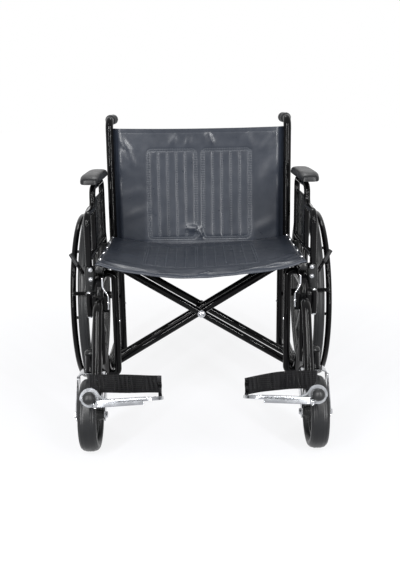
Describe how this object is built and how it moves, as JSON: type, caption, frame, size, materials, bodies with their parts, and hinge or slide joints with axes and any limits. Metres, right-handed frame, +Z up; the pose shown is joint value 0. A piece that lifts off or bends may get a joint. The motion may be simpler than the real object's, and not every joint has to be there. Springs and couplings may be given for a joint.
{
  "type": "folding wheelchair",
  "caption": "Extra-wide folding wheelchair with a cross brace, spoked wheels, desk-length arms and swing-away footrests with heel loops.",
  "frame": {"origin": "on the floor, at the middle of the chair's length and width", "axes": "+Z up, the chair faces -Y, the sitter's left is +X"},
  "size_m": [0.806, 1.0779, 0.911],
  "materials": {
    "black_enamel": "gloss enamel on steel tube",
    "chrome_plate": "bright plate",
    "grip_rubber": "matt moulded rubber",
    "tyre_rubber": "matt solid rubber",
    "black_plastic": "satin moulded",
    "cast_aluminium": "bright as cast",
    "grey_vinyl": "soft blue-grey vinyl with a low sheen",
    "black_webbing": "woven webbing"
  },
  "bodies": {
    "right_frame": {"right_side_frame": "black_enamel", "right_back_cane": "black_enamel", "right_hand_grip": "grip_rubber", "right_rear_axle": "chrome_plate", "right_caster_cap": "black_plastic", "right_front_arm_socket": "black_plastic", "right_rear_arm_socket": "black_plastic", "right_lock_bracket": "black_enamel", "back_upholstery": "grey_vinyl"},
    "inner_arm": {"inner_brace_arm": "black_enamel", "left_rail_plug": "black_plastic"},
    "outer_arm": {"outer_brace_arm": "black_enamel", "right_rail_plug": "black_plastic", "brace_bolt": "chrome_plate"},
    "left_frame": {"left_side_frame": "black_enamel", "left_back_cane": "black_enamel", "left_hand_grip": "grip_rubber", "left_rear_axle": "chrome_plate", "left_caster_cap": "black_plastic", "left_front_arm_socket": "black_plastic", "left_rear_arm_socket": "black_plastic", "left_lock_bracket": "black_enamel"},
    "seat": {"seat_upholstery": "grey_vinyl"},
    "right_wheel": {"right_rear_wheel": "black_plastic", "right_rear_tyre": "tyre_rubber", "right_handrim": "black_enamel"},
    "right_swivel": {"right_caster_fork": "chrome_plate", "right_caster_axle": "chrome_plate"},
    "right_roller": {"right_caster_wheel": "black_plastic", "right_caster_tyre": "tyre_rubber"},
    "right_arm": {"right_arm_frame": "black_enamel", "right_arm_pad": "grey_vinyl", "right_side_panel": "black_plastic"},
    "right_hanger_body": {"right_hanger": "black_enamel"},
    "right_latch": {"right_hanger_latch": "chrome_plate"},
    "right_footrest": {"right_footrest_extension": "chrome_plate", "right_footrest_cap": "grip_rubber"},
    "right_foot": {"right_footplate": "cast_aluminium", "right_heel_loop": "black_webbing"},
    "right_lever": {"right_lock_lever": "black_enamel"},
    "right_shoe": {"right_lock_shoe": "black_enamel"},
    "left_wheel": {"left_rear_wheel": "black_plastic", "left_rear_tyre": "tyre_rubber", "left_handrim": "black_enamel"},
    "left_swivel": {"left_caster_fork": "chrome_plate", "left_caster_axle": "chrome_plate"},
    "left_roller": {"left_caster_wheel": "black_plastic", "left_caster_tyre": "tyre_rubber"},
    "left_arm": {"left_arm_frame": "black_enamel", "left_arm_pad": "grey_vinyl", "left_side_panel": "black_plastic"},
    "left_hanger_body": {"left_hanger": "black_enamel"},
    "left_latch": {"left_hanger_latch": "chrome_plate"},
    "left_footrest": {"left_footrest_extension": "chrome_plate", "left_footrest_cap": "grip_rubber"},
    "left_foot": {"left_footplate": "cast_aluminium", "left_heel_loop": "black_webbing"},
    "left_lever": {"left_lock_lever": "black_enamel"},
    "left_shoe": {"left_lock_shoe": "black_enamel"}
  },
  "joints": [
    {"name": "brace_fold", "type": "hinge", "parent": "right_frame", "child": "inner_arm", "pos_m": [-0.2925, 0.01, 0.14], "axis": [0, -1, 0], "range_deg": [0, 20], "deforming": ["seat_upholstery", "back_upholstery"]},
    {"name": "brace_cross", "type": "hinge", "parent": "inner_arm", "child": "outer_arm", "pos_m": [0, 0.01, 0.31685], "axis": [0, -1, 0], "range_deg": [-40, 0]},
    {"name": "left_frame_fold", "type": "hinge", "parent": "outer_arm", "child": "left_frame", "pos_m": [0.2925, 0.01, 0.14], "axis": [0, -1, 0], "range_deg": [0, 20]},
    {"name": "seat_level", "type": "hinge", "parent": "inner_arm", "child": "seat", "pos_m": [0.292, 0.01, 0.4934], "axis": [0, -1, 0], "range_deg": [-20, 0]},
    {"name": "right_wheel_spin", "type": "hinge", "parent": "right_frame", "child": "right_wheel", "pos_m": [-0.3605, 0.23, 0.309], "axis": [1, 0, 0], "continuous": true},
    {"name": "right_caster_swivel", "type": "hinge", "parent": "right_frame", "child": "right_swivel", "pos_m": [-0.316, -0.249, 0.207], "axis": [0, 0, 1], "continuous": true},
    {"name": "right_caster_roll", "type": "hinge", "parent": "right_swivel", "child": "right_roller", "pos_m": [-0.316, -0.307, 0.1016], "axis": [1, 0, 0], "continuous": true},
    {"name": "right_arm_lift", "type": "slide", "parent": "right_frame", "child": "right_arm", "axis": [0, 0, 1], "range_m": [0, 0.055]},
    {"name": "right_hanger_swing", "type": "hinge", "parent": "right_frame", "child": "right_hanger_body", "pos_m": [-0.318, -0.2215, 0.405], "axis": [0, 0, -1], "range_deg": [0, 90]},
    {"name": "right_latch_press", "type": "hinge", "parent": "right_hanger_body", "child": "right_latch", "pos_m": [-0.264, -0.2245, 0.405], "axis": [0, 1, 0], "range_deg": [0, 20]},
    {"name": "right_footrest_slide", "type": "slide", "parent": "right_hanger_body", "child": "right_footrest", "axis": [0, -0.4226, -0.9063], "range_m": [0, 0.08]},
    {"name": "right_footplate_flip", "type": "hinge", "parent": "right_footrest", "child": "right_foot", "pos_m": [-0.2875, -0.38582, 0.1845], "axis": [0, -0.9272, 0.3746], "range_deg": [0, 82]},
    {"name": "right_lock_lever_throw", "type": "hinge", "parent": "right_frame", "child": "right_lever", "pos_m": [-0.2925, -0.102, 0.428], "axis": [1, 0, 0], "range_deg": [0, 50]},
    {"name": "right_lock_shoe_turn", "type": "hinge", "parent": "right_frame", "child": "right_shoe", "pos_m": [-0.2925, -0.102, 0.428], "axis": [1, 0, 0], "range_deg": [0, 20]},
    {"name": "left_wheel_spin", "type": "hinge", "parent": "left_frame", "child": "left_wheel", "pos_m": [0.3605, 0.23, 0.309], "axis": [1, 0, 0], "continuous": true},
    {"name": "left_caster_swivel", "type": "hinge", "parent": "left_frame", "child": "left_swivel", "pos_m": [0.316, -0.249, 0.207], "axis": [0, 0, 1], "continuous": true},
    {"name": "left_caster_roll", "type": "hinge", "parent": "left_swivel", "child": "left_roller", "pos_m": [0.316, -0.307, 0.1016], "axis": [1, 0, 0], "continuous": true},
    {"name": "left_arm_lift", "type": "slide", "parent": "left_frame", "child": "left_arm", "axis": [0, 0, 1], "range_m": [0, 0.055]},
    {"name": "left_hanger_swing", "type": "hinge", "parent": "left_frame", "child": "left_hanger_body", "pos_m": [0.318, -0.2215, 0.405], "axis": [0, 0, 1], "range_deg": [0, 90]},
    {"name": "left_latch_press", "type": "hinge", "parent": "left_hanger_body", "child": "left_latch", "pos_m": [0.264, -0.2245, 0.405], "axis": [0, -1, 0], "range_deg": [0, 20]},
    {"name": "left_footrest_slide", "type": "slide", "parent": "left_hanger_body", "child": "left_footrest", "axis": [0, -0.4226, -0.9063], "range_m": [0, 0.08]},
    {"name": "left_footplate_flip", "type": "hinge", "parent": "left_footrest", "child": "left_foot", "pos_m": [0.2875, -0.38582, 0.1845], "axis": [0, 0.9272, -0.3746], "range_deg": [0, 82]},
    {"name": "left_lock_lever_throw", "type": "hinge", "parent": "left_frame", "child": "left_lever", "pos_m": [0.2925, -0.102, 0.428], "axis": [1, 0, 0], "range_deg": [0, 50]},
    {"name": "left_lock_shoe_turn", "type": "hinge", "parent": "left_frame", "child": "left_shoe", "pos_m": [0.2925, -0.102, 0.428], "axis": [1, 0, 0], "range_deg": [0, 20]}
  ],
  "couplings": [
    {"joint": "brace_cross", "follows": "brace_fold", "ratio": -2},
    {"joint": "left_frame_fold", "follows": "brace_fold", "ratio": 1},
    {"joint": "seat_level", "follows": "brace_fold", "ratio": -1},
    {"joint": "right_lock_shoe_turn", "follows": "right_lock_lever_throw", "ratio": 0.4},
    {"joint": "left_lock_shoe_turn", "follows": "left_lock_lever_throw", "ratio": 0.4}
  ]
}
